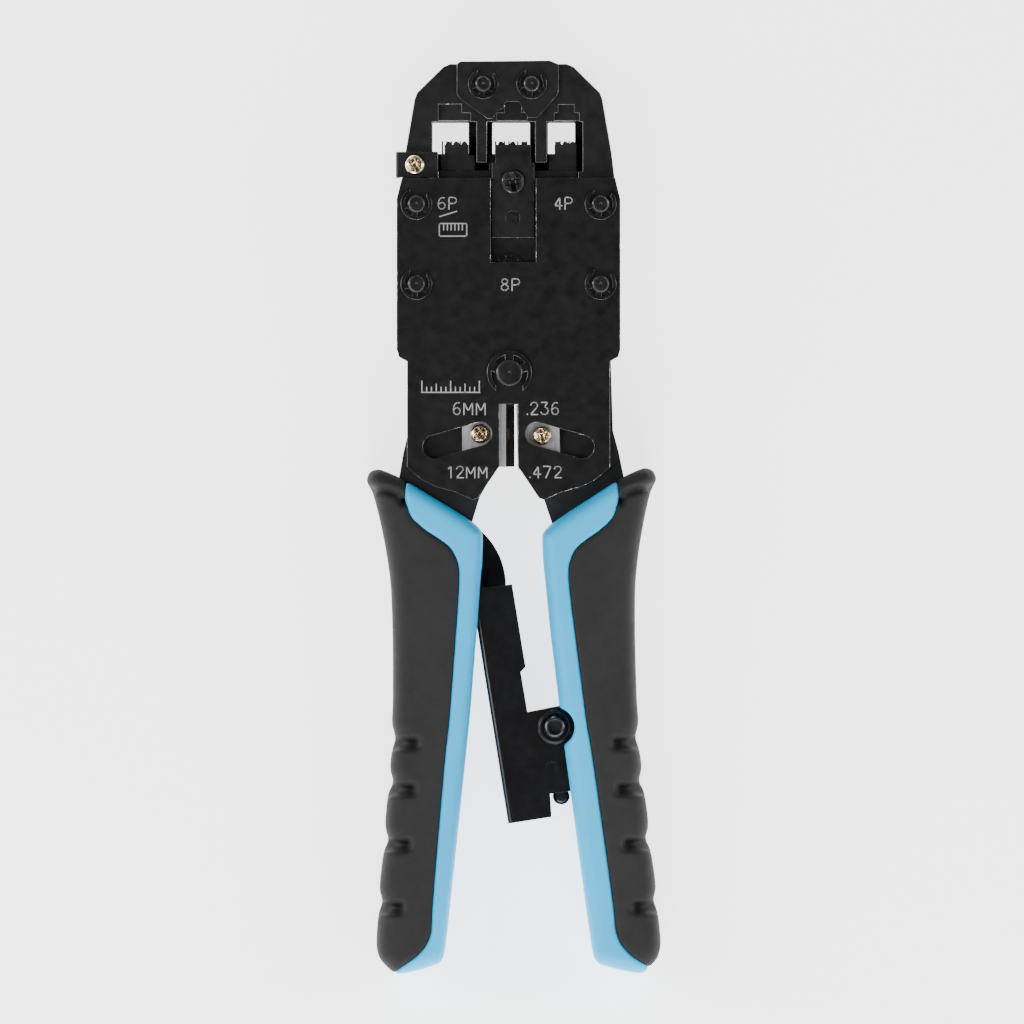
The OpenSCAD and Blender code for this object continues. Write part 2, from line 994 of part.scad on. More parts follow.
module ratchet_pawl() {
    color("#3a3b3e")
        ratchet_place()
            middle(rack_half)
                difference() {
                    union() {
                        polygon(pawl_outline);
                        translate(release_pin_at)
                            circle(pawl_eye_r);
                    }
                    translate(pawl_pin_at)
                        circle(pawl_pin_r + running_gap);
                    translate(release_pin_at)
                        circle(release_pin_r);
                }
}

module release_pin() {
    color("#55575b")
        ratchet_place()
            translate(release_pin_at)
                upright(-5.2, 5.2, release_pin_r);
}

translate(head_shift) {
    front_cover_plate();
    rear_cover_plate();
    front_jaw_plate();
    rear_jaw_plate();
    front_die_plate();
    rear_die_plate();
    anvil_block();
    top_pins();
    top_pin_clips();
    frame_pins();
    frame_pin_clips();
    pin_spacers();
    spring_post();
    spring_post_clip();
    return_spring();
    side_bracket();
    bracket_screw();
    carriage_front_plate();
    carriage_rear_plate();
    carriage_block();
    carriage_rivets();
    punch_6p();
    punch_8p();
    punch_4p();
    contact_blades();
    locator_tab();
    locator_screw();
    locator_dowel();
    drive_pin();
    drive_pin_clips();
    left_front_lever();
    left_rear_lever();
    left_lever_rivets();
    left_blade();
    left_blade_screw();
    left_grip_shell();
    left_grip_cover();
    rack_pin();
    rack_pin_washers();
    right_front_lever();
    right_rear_lever();
    right_lever_rivets();
    right_blade();
    right_blade_screw();
    right_grip_shell();
    right_grip_cover();
    ratchet_channel();
    channel_rivet();
    rack_guides();
    pawl_pin();
    pawl_spring();
    ratchet_rack();
    ratchet_pawl();
    release_pin();
}
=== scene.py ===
"""Looks of the ratchet crimping tool: black oxide steel head, blue and black moulded grips.

Lengths in the tables below are in millimetres, about the head's own axis and the tool's
mid plane, as in the CAD.
"""

import json
import math

import bmesh
import bpy
import numpy as np
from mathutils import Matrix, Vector


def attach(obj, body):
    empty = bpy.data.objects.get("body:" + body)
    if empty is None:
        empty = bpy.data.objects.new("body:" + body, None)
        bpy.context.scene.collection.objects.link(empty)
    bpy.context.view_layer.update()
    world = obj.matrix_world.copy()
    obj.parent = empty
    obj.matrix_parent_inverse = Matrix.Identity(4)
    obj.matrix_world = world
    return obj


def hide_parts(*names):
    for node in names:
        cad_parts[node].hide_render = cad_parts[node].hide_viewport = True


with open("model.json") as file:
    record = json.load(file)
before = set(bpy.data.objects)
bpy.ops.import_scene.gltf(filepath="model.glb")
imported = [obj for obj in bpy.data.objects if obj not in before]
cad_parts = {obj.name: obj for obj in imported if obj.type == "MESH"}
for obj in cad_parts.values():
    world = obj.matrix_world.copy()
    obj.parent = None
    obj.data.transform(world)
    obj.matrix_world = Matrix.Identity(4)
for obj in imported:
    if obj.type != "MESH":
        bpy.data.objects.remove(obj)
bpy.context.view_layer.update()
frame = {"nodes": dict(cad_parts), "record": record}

MM = 0.001
HEAD = (-1.17, 0.43, 11.5)  # the head's axis and the mid plane, from the row frame's origin
GRIP_HALF = 11.5
HANDLE_SKEW = 1.75
RIGHT_PIVOT = (21.16, 53.3)
RATCHET_LEAN = 9.0
CHANNEL_PIVOT = (10.67, -48.5)

BODY_OF = {
    node: body
    for body, members in frame["record"]["behaviour"]["bodies"].items()
    for node in members
}


def row(x, y, z):
    """A point in head millimetres, in the row frame's metres."""
    return Vector(((x + HEAD[0]) * MM, (y + HEAD[1]) * MM, (z + HEAD[2]) * MM))


def turned(point, degrees, centre=(0.0, 0.0)):
    """A flat point turned anticlockwise about a centre."""
    c, s = math.cos(math.radians(degrees)), math.sin(math.radians(degrees))
    x, y = point[0] - centre[0], point[1] - centre[1]
    return (centre[0] + c * x - s * y, centre[1] + s * x + c * y)


def from_channel(x, y):
    """A point in the channel's own axes, in head millimetres."""
    px, py = turned((x, y), RATCHET_LEAN)
    return (px + CHANNEL_PIVOT[0], py + CHANNEL_PIVOT[1])


def to_right(point):
    """A point of the left handle, moved to the right handle."""
    return turned((-point[0], point[1]), HANDLE_SKEW, RIGHT_PIVOT)


def to_left(point):
    """The other way round."""
    x, y = turned(point, -HANDLE_SKEW, RIGHT_PIVOT)
    return (-x, y)


# Materials


def finish_material(
    name,
    base,
    accent,
    rough,
    metallic=0.0,
    mottle=90.0,
    grain=1500.0,
    bump=0.15,
    spread=0.08,
    stretch=(1.0, 1.0, 1.0),
    specular=0.5,
    coat=0.0,
    wear=None,
):
    """Base and accent colours mixed by a coarse noise, with fine grain in the bump and a
    third noise in the roughness.

    wear is (colour, share): where the coating is rubbed off, the colour of the bare metal
    and how much of it shows.
    """
    mat = bpy.data.materials.new(name)
    mat.use_nodes = True
    tree = mat.node_tree
    tree.nodes.clear()
    link = tree.links.new
    out = tree.nodes.new("ShaderNodeOutputMaterial")
    bsdf = tree.nodes.new("ShaderNodeBsdfPrincipled")
    link(bsdf.outputs["BSDF"], out.inputs["Surface"])
    bsdf.inputs["Specular IOR Level"].default_value = specular
    bsdf.inputs["Coat Weight"].default_value = coat
    bsdf.inputs["Coat Roughness"].default_value = 0.15
    bsdf.inputs["Metallic"].default_value = metallic
    place = tree.nodes.new("ShaderNodeTexCoord")
    mapping = tree.nodes.new("ShaderNodeMapping")
    mapping.inputs["Scale"].default_value = stretch
    link(place.outputs["Object"], mapping.inputs["Vector"])

    def noise(scale, detail, roughness=0.55):
        made = tree.nodes.new("ShaderNodeTexNoise")
        made.inputs["Scale"].default_value = scale
        made.inputs["Detail"].default_value = detail
        made.inputs["Roughness"].default_value = roughness
        link(mapping.outputs["Vector"], made.inputs["Vector"])
        return made.outputs[0]

    def ranged(value, low, high, to_low, to_high):
        made = tree.nodes.new("ShaderNodeMapRange")
        for socket, number in zip(
            ("From Min", "From Max", "To Min", "To Max"), (low, high, to_low, to_high)
        ):
            made.inputs[socket].default_value = number
        link(value, made.inputs["Value"])
        return made.outputs["Result"]

    def mixed(factor, a, b):
        made = tree.nodes.new("ShaderNodeMix")
        made.data_type = "RGBA"
        link(factor, made.inputs[0])
        for socket, value in ((made.inputs[6], a), (made.inputs[7], b)):
            if isinstance(value, tuple):
                socket.default_value = (*value, 1.0)
            else:
                link(value, socket)
        return made.outputs[2]

    colour = mixed(ranged(noise(mottle, 4), 0.35, 0.65, 0.0, 1.0), base, accent)
    if wear:
        bare, share = wear
        rubbed = ranged(
            noise(mottle * 4, 6, 0.7), 0.62 - share / 2, 0.68 - share / 2, 0.0, 1.0
        )
        colour = mixed(rubbed, colour, bare)
        link(rubbed, bsdf.inputs["Metallic"])
    link(colour, bsdf.inputs["Base Color"])
    link(
        ranged(noise(mottle * 5, 5), 0.3, 0.7, rough - spread, rough + spread),
        bsdf.inputs["Roughness"],
    )
    bumped = tree.nodes.new("ShaderNodeBump")
    bumped.inputs["Strength"].default_value = bump
    bumped.inputs["Distance"].default_value = 0.1 * MM
    link(noise(grain, 3), bumped.inputs["Height"])
    link(bumped.outputs["Normal"], bsdf.inputs["Normal"])
    return mat


BARE = (0.42, 0.42, 0.43)


def blackened(name, dark, light, rough, bump=0.1, wear=0.0, specular=0.3, **more):
    """Black oxide steel in two greys, with a share of it rubbed bare."""
    return finish_material(
        name,
        (dark, dark, dark * 1.1),
        (light, light, light * 1.1),
        rough,
        bump=bump,
        specular=specular,
        wear=(BARE, wear) if wear else None,
        **more,
    )


def bare_metal(name, dark, light, rough, **more):
    return finish_material(name, dark, light, rough, metallic=1.0, **more)


# The *_edge materials go on the rounded edges. Their greys are lighter than the faces': painted
# highlight along the edges. Their rubbed bare patches are wear.
MATERIALS = {
    "cover_steel": blackened("cover_steel", 0.0022, 0.0026, 0.40),
    "cover_edge": blackened("cover_edge", 0.010, 0.022, 0.26, wear=0.14, specular=0.7),
    "jaw_steel": blackened("jaw_steel", 0.0040, 0.0062, 0.42, bump=0.16),
    "jaw_edge": blackened("jaw_edge", 0.012, 0.026, 0.28, wear=0.07, specular=0.7),
    "die_steel": blackened("die_steel", 0.0052, 0.0095, 0.46, bump=0.2),
    "die_edge": blackened("die_edge", 0.012, 0.024, 0.34, wear=0.08, specular=0.6),
    "pin_steel": blackened("pin_steel", 0.0045, 0.0090, 0.34, bump=0.14),
    "pin_edge": blackened("pin_edge", 0.006, 0.014, 0.24, wear=0.02, specular=0.9),
    "clip_steel": blackened("clip_steel", 0.0032, 0.0060, 0.30),
    "clip_edge": blackened("clip_edge", 0.004, 0.010, 0.24, wear=0.02, specular=0.8),
    "lever_steel": blackened("lever_steel", 0.0115, 0.0145, 0.40, bump=0.12),
    "lever_edge": blackened("lever_edge", 0.012, 0.026, 0.28, wear=0.10, specular=0.7),
    "ratchet_steel": blackened(
        "ratchet_steel", 0.0052, 0.0075, 0.22, bump=0.06, spread=0.05, coat=0.3
    ),
    "ratchet_edge": blackened(
        "ratchet_edge", 0.012, 0.026, 0.2, wear=0.08, specular=0.9, coat=0.3
    ),
    "spring_steel": bare_metal(
        "spring_steel", (0.28, 0.28, 0.29), (0.4, 0.4, 0.41), 0.28, grain=4000, bump=0.1
    ),
    "blade_steel": finish_material(
        "blade_steel",
        (0.40, 0.40, 0.41),
        (0.50, 0.50, 0.51),
        0.32,
        metallic=0.35,
        grain=700,
        bump=0.06,
        stretch=(8.0, 0.7, 8.0),
    ),
    # darker steel for the blades' sloping faces: painted shade for the dark those slopes reflect
    "blade_slope_painted_shade": bare_metal(
        "blade_slope_painted_shade",
        (0.10, 0.095, 0.09),
        (0.17, 0.16, 0.15),
        0.3,
        grain=700,
        bump=0.08,
        stretch=(8.0, 0.7, 8.0),
    ),
    "contact_steel": bare_metal(
        "contact_steel", (0.10, 0.10, 0.105), (0.2, 0.2, 0.205), 0.35, bump=0.1
    ),
    "nickel_screw": bare_metal(
        "nickel_screw",
        (0.80, 0.62, 0.40),
        (0.92, 0.78, 0.56),
        0.17,
        grain=1200,
        bump=0.05,
        spread=0.05,
    ),
    "blue_grip": finish_material(
        "blue_grip",
        (0.0, 0.43, 0.80),
        (0.0, 0.46, 0.84),
        0.44,
        mottle=45,
        grain=2600,
        bump=0.1,
        spread=0.05,
        specular=0.2,
    ),
    "black_grip": finish_material(
        "black_grip",
        (0.0130, 0.0130, 0.0134),
        (0.0160, 0.0160, 0.0165),
        0.74,
        mottle=70,
        grain=3400,
        bump=0.42,
        spread=0.06,
        specular=0.25,
    ),
    "print_white": finish_material(
        "print_white", (0.24, 0.24, 0.24), (0.34, 0.34, 0.34), 0.55, bump=0.1
    ),
}


# Mesh tools

SHARP_ANGLE = 38.0  # degrees between faces from which an edge counts as a corner


def named_object(name, mesh, body, materials):
    """A new piece with its materials that rides on a body."""
    made = bpy.data.objects.new(name, mesh)
    bpy.context.scene.collection.objects.link(made)
    for material in materials:
        mesh.materials.append(MATERIALS[material])
    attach(made, body)
    return made


def weighted(made, sharp_angle=SHARP_ANGLE):
    """Smooth shading that keeps large faces flat, with creases above an angle."""
    mesh = made.data
    mesh.polygons.foreach_set("use_smooth", [True] * len(mesh.polygons))
    mesh.set_sharp_from_angle(angle=math.radians(sharp_angle))
    modifier = made.modifiers.new("normals", "WEIGHTED_NORMAL")
    modifier.keep_sharp = True
    apply_modifiers(made)


def apply_modifiers(made):
    """The object's mesh with its modifiers made part of it."""
    bpy.context.view_layer.update()
    graph = bpy.context.evaluated_depsgraph_get()
    final = bpy.data.meshes.new_from_object(made.evaluated_get(graph))
    made.modifiers.clear()
    made.data = final


def bevelled(mesh, edges, width, segments, material):
    """Rounds the edges of a bmesh, with the rounding in the given material index."""
    bmesh.ops.bevel(
        mesh,
        geom=edges,
        offset=width * MM,
        offset_type="OFFSET",
        segments=segments,
        profile=0.5,
        affect="EDGES",
        clamp_overlap=True,
        material=material,
    )


def refined(node, slot, edge, width, bends=None):
    """The CAD node's shape with its edges rounded, the rounding in the edge material: its lighter
    grey is painted highlight along the edges, and its patches rubbed bare are wear.

    bends is (test on an edge in head millimetres, radius): folds of sheet metal, which are
    rounder than cut edges.
    """
    mesh = bmesh.new()
    mesh.from_mesh(frame["nodes"][node].data)
    bmesh.ops.remove_doubles(mesh, verts=mesh.verts, dist=0.002 * MM)
    bmesh.ops.dissolve_limit(
        mesh, angle_limit=math.radians(1.0), verts=mesh.verts, edges=mesh.edges
    )
    for face in mesh.faces:
        face.material_index = 0

    def is_sharp(e):
        return len(e.link_faces) == 2 and e.calc_face_angle(0.0) > math.radians(SHARP_ANGLE)

    if bends:
        test, radius = bends
        folds = [e for e in mesh.edges if is_sharp(e) and test(e)]
        bevelled(mesh, folds, radius, 4, 0)
    bevelled(mesh, [e for e in mesh.edges if is_sharp(e)], width, 2, 1)
    data = bpy.data.meshes.new(node)
    mesh.to_mesh(data)
    mesh.free()
    made = named_object("fine_" + node, data, BODY_OF[node], [slot, edge])
    weighted(made)
    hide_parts(node)
    return made


def lathe_mesh(mesh, profile, centre, sides=72, edge_rings=()):
    """Adds a turned solid to a bmesh.

    The profile is (radius, z) points from the axis at the back to the axis in front. The
    rings of faces named in edge_rings take the edge material: painted highlight on the rims, with
    patches rubbed bare as wear.
    """
    rings = []
    for radius, z in profile:
        if radius == 0:
            rings.append([mesh.verts.new(row(centre[0], centre[1], z))])
            continue
        rings.append(
            [
                mesh.verts.new(
                    row(
                        centre[0] + radius * math.cos(2 * math.pi * i / sides),
                        centre[1] + radius * math.sin(2 * math.pi * i / sides),
                        z,
                    )
                )
                for i in range(sides)
            ]
        )
    for index, (low, high) in enumerate(zip(rings, rings[1:])):
        for i in range(sides):
            j = (i + 1) % sides
            corners = [low[i % len(low)], low[j % len(low)]]
            corners += [high[j % len(high)], high[i % len(high)]]
            corners = list(dict.fromkeys(corners))
            face = mesh.faces.new(corners)
            face.material_index = 1 if index in edge_rings else 0


def turned_piece(node, slot, edge, profile, centres, edge_rings=(), sides=72):
    """Turned solids, one at each centre, that stand for a CAD node."""
    mesh = bmesh.new()
    for centre in centres:
        lathe_mesh(mesh, profile, centre, sides, edge_rings)
    data = bpy.data.meshes.new(node)
    mesh.to_mesh(data)
    mesh.free()
    made = named_object("fine_" + node, data, BODY_OF[node], [slot, edge])
    weighted(made, 32.0)
    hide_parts(node)
    return made


def tube(name, path, radius, body, slot, sides=14):
    """A round wire along a path of head millimetre points, with closed ends."""
    points = [Vector(p) for p in path]
    mesh = bmesh.new()
    rings = []
    normal = None
    for i, point in enumerate(points):
        ahead = points[min(i + 1, len(points) - 1)] - points[max(i - 1, 0)]
        ahead.normalize()
        if normal is None:
            normal = ahead.orthogonal().normalized()
        normal = (normal - ahead * normal.dot(ahead)).normalized()
        side = ahead.cross(normal)
        ring = []
        for k in range(sides):
            turn = 2 * math.pi * k / sides
            offset = (math.cos(turn) * normal + math.sin(turn) * side) * radius
            ring.append(mesh.verts.new(row(*(point + offset))))
        rings.append(ring)
    for low, high in zip(rings, rings[1:]):
        for k in range(sides):
            n = (k + 1) % sides
            mesh.faces.new([low[k], low[n], high[n], high[k]])
    mesh.faces.new(list(reversed(rings[0])))
    mesh.faces.new(rings[-1])
    data = bpy.data.meshes.new(name)
    mesh.to_mesh(data)
    mesh.free()
    made = named_object(name, data, body, [slot])
    weighted(made, 50.0)
    return made


# Plates and sheet metal


CLOSE = 0.05  # how near a corner has to be to the place where a fold is looked for
CHANNEL_WEB_X = -14.1
CHANNEL_HALF = 6.5
TAB_FOLDS = (81.0, 84.5)
BRACKET_X = -25.9
BRACKET_FRONT = 8.5


def head_xy(vertex):
    """A mesh corner's place across and along the head, in head millimetres."""
    return (vertex.co.x / MM - HEAD[0], vertex.co.y / MM - HEAD[1])


def along_channel(e):
    """Whether an edge is a long outer corner between the channel's web and a flange."""

    def on_web(v):
        x = turned(head_xy(v), -RATCHET_LEAN, CHANNEL_PIVOT)[0] - CHANNEL_PIVOT[0]
        return abs(x - CHANNEL_WEB_X) < CLOSE

    def on_flange(v):
        return abs(abs(v.co.z / MM - HEAD[2]) - CHANNEL_HALF) < CLOSE

    return e.calc_length() > 40 * MM and all(on_web(v) and on_flange(v) for v in e.verts)


def across_tab(e):
    """Whether an edge is one of the locator tab's folds, which run across it."""
    low, high = sorted(v.co.x for v in e.verts)
    y = head_xy(e.verts[0])[1]
    return high - low > 7 * MM and TAB_FOLDS[0] < y < TAB_FOLDS[1]


def bracket_fold(e):
    """Whether an edge is the outer corner of the side bracket."""
    return all(
        abs(head_xy(v)[0] - BRACKET_X) < CLOSE
        and abs(v.co.z / MM - HEAD[2] - BRACKET_FRONT) < CLOSE
        for v in e.verts
    )


for plate, slot, edge, width in (
    ("front_cover_plate", "cover_steel", "cover_edge", 0.2),
    ("rear_cover_plate", "cover_steel", "cover_edge", 0.2),
    ("front_jaw_plate", "jaw_steel", "jaw_edge", 0.18),
    ("rear_jaw_plate", "jaw_steel", "jaw_edge", 0.18),
    ("front_die_plate", "jaw_steel", "jaw_edge", 0.26),
    ("rear_die_plate", "jaw_steel", "jaw_edge", 0.26),
    ("anvil_block", "die_steel", "die_edge", 0.12),
    ("carriage_front_plate", "jaw_steel", "jaw_edge", 0.15),
    ("carriage_rear_plate", "jaw_steel", "jaw_edge", 0.15),
    ("carriage_block", "die_steel", "die_edge", 0.12),
    ("punch_6p", "die_steel", "die_edge", 0.1),
    ("punch_8p", "die_steel", "die_edge", 0.1),
    ("punch_4p", "die_steel", "die_edge", 0.1),
    ("top_pin_clips", "clip_steel", "clip_edge", 0.13),
    ("frame_pin_clips", "clip_steel", "clip_edge", 0.13),
    ("spring_post_clip", "clip_steel", "clip_edge", 0.18),
    ("drive_pin_clips", "clip_steel", "clip_edge", 0.13),
    ("left_front_lever", "lever_steel", "lever_edge", 0.25),
    ("left_rear_lever", "lever_steel", "lever_edge", 0.25),
    ("right_front_lever", "lever_steel", "lever_edge", 0.25),
    ("right_rear_lever", "lever_steel", "lever_edge", 0.25),
    ("ratchet_rack", "ratchet_steel", "ratchet_edge", 0.12),
    ("ratchet_pawl", "ratchet_steel", "ratchet_edge", 0.12),
):
    refined(plate, slot, edge, width)

# The blades' sloping faces take a darker steel: painted shade for the dark those slopes reflect.
for blade in ("left_blade", "right_blade"):
    made = refined(blade, "blade_steel", "blade_slope_painted_shade", 0.05)
    for face in made.data.polygons:
        face.material_index = 1 if 0.25 < abs(face.normal.z) < 0.95 else 0

refined("locator_tab", "jaw_steel", "jaw_edge", 0.22, bends=(across_tab, 0.45))
refined("side_bracket", "jaw_steel", "jaw_edge", 0.15, bends=(bracket_fold, 0.6))
refined(
    "ratchet_channel", "ratchet_steel", "ratchet_edge", 0.15, bends=(along_channel, 0.9)
)


# Pins, clips' posts, rivet and dowel


def headed_profile(shaft, head, head_front, tip, groove_at):
    """A pin with a domed head at the back, a clip groove and a chamfered end with a centre mark."""
    back = -GRIP_HALF
    return [
        (0, back),
        (head - 0.7, back),
        (head - 0.2, back + 0.15),
        (head, back + 0.5),
        (head, head_front),
        (shaft, head_front),
        (shaft, groove_at - 0.02),
        (shaft - 0.25, groove_at),
        (shaft - 0.25, groove_at + 0.55),
        (shaft, groove_at + 0.6),
        (shaft, tip - 0.3),
        (shaft - 0.3, tip - 0.03),
        (shaft - 0.55, tip),
        (0.4, tip - 0.04),
        (0.2, tip - 0.2),
        (0, tip - 0.25),
    ]


PIN_EDGE_RINGS = (2, 10, 11)
turned_piece(
    "top_pins",
    "pin_steel",
    "pin_edge",
    headed_profile(1.77, 3.3, -9.1, 10.6, 9.1),
    [(-5.8, 99.3), (5.3, 99.3)],
    PIN_EDGE_RINGS,
)
turned_piece(
    "frame_pins",
    "pin_steel",
    "pin_edge",
    headed_profile(1.93, 3.5, -9.6, 10.9, 9.6),
    [(-21.16, 71.7), (21.16, 71.7), (-21.16, 53.3), (21.16, 53.3)],
    PIN_EDGE_RINGS,
)
turned_piece(
    "spring_post",
    "pin_steel",
    "pin_edge",
    headed_profile(3.0, 4.4, -9.6, 11.1, 9.6),
    [(0.2, 32.9)],
    PIN_EDGE_RINGS,
    96,
)
rivet_half = [
    (2.0, 6.5),
    (4.0, 6.5),
    (4.0, 6.8),
    (3.75, 7.15),
    (3.4, 7.35),
    (3.05, 7.2),
    (2.75, 7.05),
    (2.6, 7.5),
    (2.45, 8.1),
    (2.2, 8.5),
    (1.9, 8.6),
    (1.6, 8.5),
    (1.35, 8.1),
    (1.2, 7.6),
    (0, 7.5),
]
turned_piece(
    "channel_rivet",
    "pin_steel",
    "pin_edge",
    [(r, -z) for r, z in reversed(rivet_half)] + rivet_half,
    [CHANNEL_PIVOT],
    (16, 17, 23, 24),
    96,
)
turned_piece(
    "release_pin",
    "pin_steel",
    "pin_edge",
    [(0, -5.2), (1.1, -5.2), (1.4, -4.9), (1.4, 4.9), (1.1, 5.2), (0, 5.2)],
    [from_channel(-1.05, -16)],
    (1, 3),
)
turned_piece(
    "locator_dowel",
    "pin_steel",
    "pin_edge",
    [(0, 3), (1.6, 3), (1.6, 8.05), (1.45, 8.17), (0.3, 8.2), (0, 8.12)],
    [(0.99, 68.5)],
)


# Cross recess screws


def cross_cutter(centre, top, reach, turn):
    """Two crossing tapered wedges that cut a screw's recess."""
    wedges = []
    for extra in (0, 90):
        mesh = bmesh.new()
        corners = []
        for z, scale_l, scale_w in ((top + 0.4, 1.3, 0.36), (top - 1.3, 0.5, 0.2)):
            for sx, sy in ((-1, -1), (1, -1), (1, 1), (-1, 1)):
                x, y = turned(
                    (sx * reach * scale_l, sy * reach * scale_w), turn + extra
                )
                corners.append(mesh.verts.new(row(centre[0] + x, centre[1] + y, z)))
        for face in (
            (3, 2, 1, 0),
            (4, 5, 6, 7),
            (0, 1, 5, 4),
            (1, 2, 6, 5),
            (2, 3, 7, 6),
            (3, 0, 4, 7),
        ):
            mesh.faces.new([corners[i] for i in face])
        bmesh.ops.recalc_face_normals(mesh, faces=mesh.faces)
        data = bpy.data.meshes.new("cutter")
        mesh.to_mesh(data)
        mesh.free()
        wedge = bpy.data.objects.new("cutter", data)
        bpy.context.scene.collection.objects.link(wedge)
        wedges.append(wedge)
    return wedges


def screw(node, slot, edge, centre, shank_from, seat, top, shank, head, turn):
    """A pan head screw with a cross recess."""
    profile = [
        (0, shank_from),
        (shank - 0.2, shank_from),
        (shank, shank_from + 0.2),
        (shank, seat),
        (head - 0.1, seat),
        (head, seat + 0.12),
        (head, top - 0.75),
        (head - 0.14, top - 0.42),
        (head - 0.42, top - 0.18),
        (head - 0.85, top - 0.05),
        (head - 1.4, top),
        (0, top),
    ]
    made = turned_piece(node, slot, edge, profile, [centre], (7,))
    cutters = cross_cutter(centre, top, head * 0.66, turn)
    for cutter in cutters:
        cut = made.modifiers.new("recess", "BOOLEAN")
        cut.operation = "DIFFERENCE"
        cut.solver = "EXACT"
        cut.object = cutter
    apply_modifiers(made)
    for cutter in cutters:
        bpy.data.objects.remove(cutter)
    weighted(made, 28.0)
    return made


screw("bracket_screw", "nickel_screw", "nickel_screw", (-21.5, 80.7), 5.5, 8.5, 9.9, 1.25, 2.3, 28)
screw("locator_screw", "pin_steel", "pin_edge", (0.99, 76.75), 3, 8.2, 9.6, 1.5, 2.8, 8)
screw("left_blade_screw", "nickel_screw", "nickel_screw", (-6.6, 18.9), 2.9, 6.9, 8.3, 1.25, 2.2, 38)
screw(
    "right_blade_screw",
    "nickel_screw",
    "nickel_screw",
    to_right((-6.6, 18.9)),
    2.9,
    6.9,
    8.3,
    1.25,
    2.2,
    12,
)


# Springs


def helix(centre, radius, from_turn, to_turn, from_z, to_z, steps):
    """Points round a coil, from one angle and height to another."""
    points = []
    for i in range(steps + 1):
        share = i / steps
        turn = math.radians(from_turn + (to_turn - from_turn) * share)
        points.append(
            (
                centre[0] + radius * math.cos(turn),
                centre[1] + radius * math.sin(turn),
                from_z + (to_z - from_z) * share,
            )
        )
    return points


def leg(start, direction, length, reverse=False):
    """Points along a straight leg of a spring, at its start's height."""
    turn = math.radians(direction)
    points = [
        (
            start[0] + length * share * math.cos(turn),
            start[1] + length * share * math.sin(turn),
            start[2],
        )
        for share in (0.08, 0.3, 0.6, 0.97)
    ]
    return list(reversed(points)) if reverse else points


post = (0.2, 32.9)
coil = helix(post, 4.3, 65.35, 114.65 - 1080, -1.65, 1.65, 200)
return_spring = tube(
    "fine_return_spring",
    leg(coil[0], 155.35, 14.8, True) + coil + leg(coil[-1], 24.65, 14.8),
    0.45,
    "frame",
    "spring_steel",
)
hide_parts("return_spring")
pawl_coil = helix(from_channel(-2.2, -9), 1.75, 20, 20 + 360 * 2.6, 1.9, 3.5, 120)
pawl_spring = tube(
    "fine_pawl_spring", pawl_coil, 0.3, BODY_OF["pawl_spring"], "spring_steel", 10
)
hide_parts("pawl_spring")


# Grips, modelled as a field that is negative inside, and skinned


GRIP_OUTLINE = [
    (-24.1, 8.4), (-27.1, 9.8), (-30, 10.9), (-32, 10.2), (-32.8, 8), (-31.2, 5.4),
    (-29.5, -1.2), (-28.1, -8.2), (-27.1, -15.3), (-26.8, -22), (-26.6, -30),
    (-26.6, -43.5), (-26.9, -47.6), (-25.9, -51.1), (-26.9, -54.1), (-27.3, -58.2),
    (-26.4, -61.1), (-27.8, -63.9), (-28.5, -71.3), (-27.5, -74.5), (-28.8, -77.1),
    (-29.8, -85.6), (-28.9, -88.6), (-30, -91.5), (-30.5, -98.7), (-29.7, -101.9),
    (-27.1, -104.5), (-25.7, -105.5), (-20.1, -104.3), (-15.8, -102.9), (-14.7, -101),
    (-14, -95.4), (-10, -57.5), (-8.8, -45.8), (-7.9, -34), (-7.2, -27), (-6.5, -16.7),
    (-6, -10.6), (-5.9, -4.7), (-6.1, -3.4), (-8.3, -1.2),
]  # fmt: skip
SHELL_SIDE = [
    (-23, 9), (-23.6, 5.8), (-23.4, 3.5), (-22.4, -0.2), (-19.1, -3.1), (-15.4, -5.4),
    (-13, -7.3), (-11.4, -10.6), (-11.1, -13.4), (-11.4, -20), (-12.1, -29.4),
    (-12.8, -38.8), (-13.5, -48.1), (-14.2, -53.1), (-17.3, -89.2), (-17.5, -95.8),
    (-18.7, -98.7), (-21, -101.4), (-26.4, -105.2), (-26.4, -108), (0, -108), (0, 9),
]  # fmt: skip
LEVER_BAR = [
    (-24.2, 14.5), (-25.3, 8), (-25.2, -8), (-23.6, -25), (-23.6, -55), (-24.6, -78),
    (-17.5, -80), (-14.8, -55), (-12.6, -25), (-9.3, -8), (-8.3, -1.2), (-6.6, 4.4),
    (-2.7, 11.2), (-2.7, 14.5),
]  # fmt: skip
EAR_NECK = [(-10.67, -44.3), (-20, -40), (-21.5, -54.5), (-16, -54), (-10.67, -52.7)]
LEFT_RACK_ROOM = [(-20, 4), (0, 4), (0, -50), (-9.5, -50), (-14, -30), (-20, -20)]
LEFT_CHANNEL_ROOM = [(-10, -12.5), (0, -12.5), (0, -50), (-4.5, -50), (-8.6, -26)]
RIGHT_CHANNEL_ROOM = [
    (5, -39), (17.5, -40), (20, -44), (23.2, -50), (23.4, -61), (20.5, -66.2),
    (18.8, -69.4), (14, -73.3), (5, -79),
]  # fmt: skip
FINGER_GROOVES = [(-21.7, -52.3), (-22.4, -62.9), (-23.5, -75.6), (-25.1, -90.1)]
RIGHT_SHELL_GAIN = 2.4  # the right shell shows wider towards the end of the grip
SEAM_LAP = 0.35  # how far the shell runs on under the cover, so that no light gets through
GROOVE_DEPTH = 3.0
FOLD_DEPTH = 1.0
LEVER_ROOM_HALF = 5.3
CHANNEL_ROOM_HALF = 7.0
RACK_ROOM_HALF = 2.9
RIVET_ROOM_R = 4.5
COLLAR_FOLD = [(-34, 6.1), (-28, 5.9), (-25.6, 5.0), (-24.4, 3.2)]


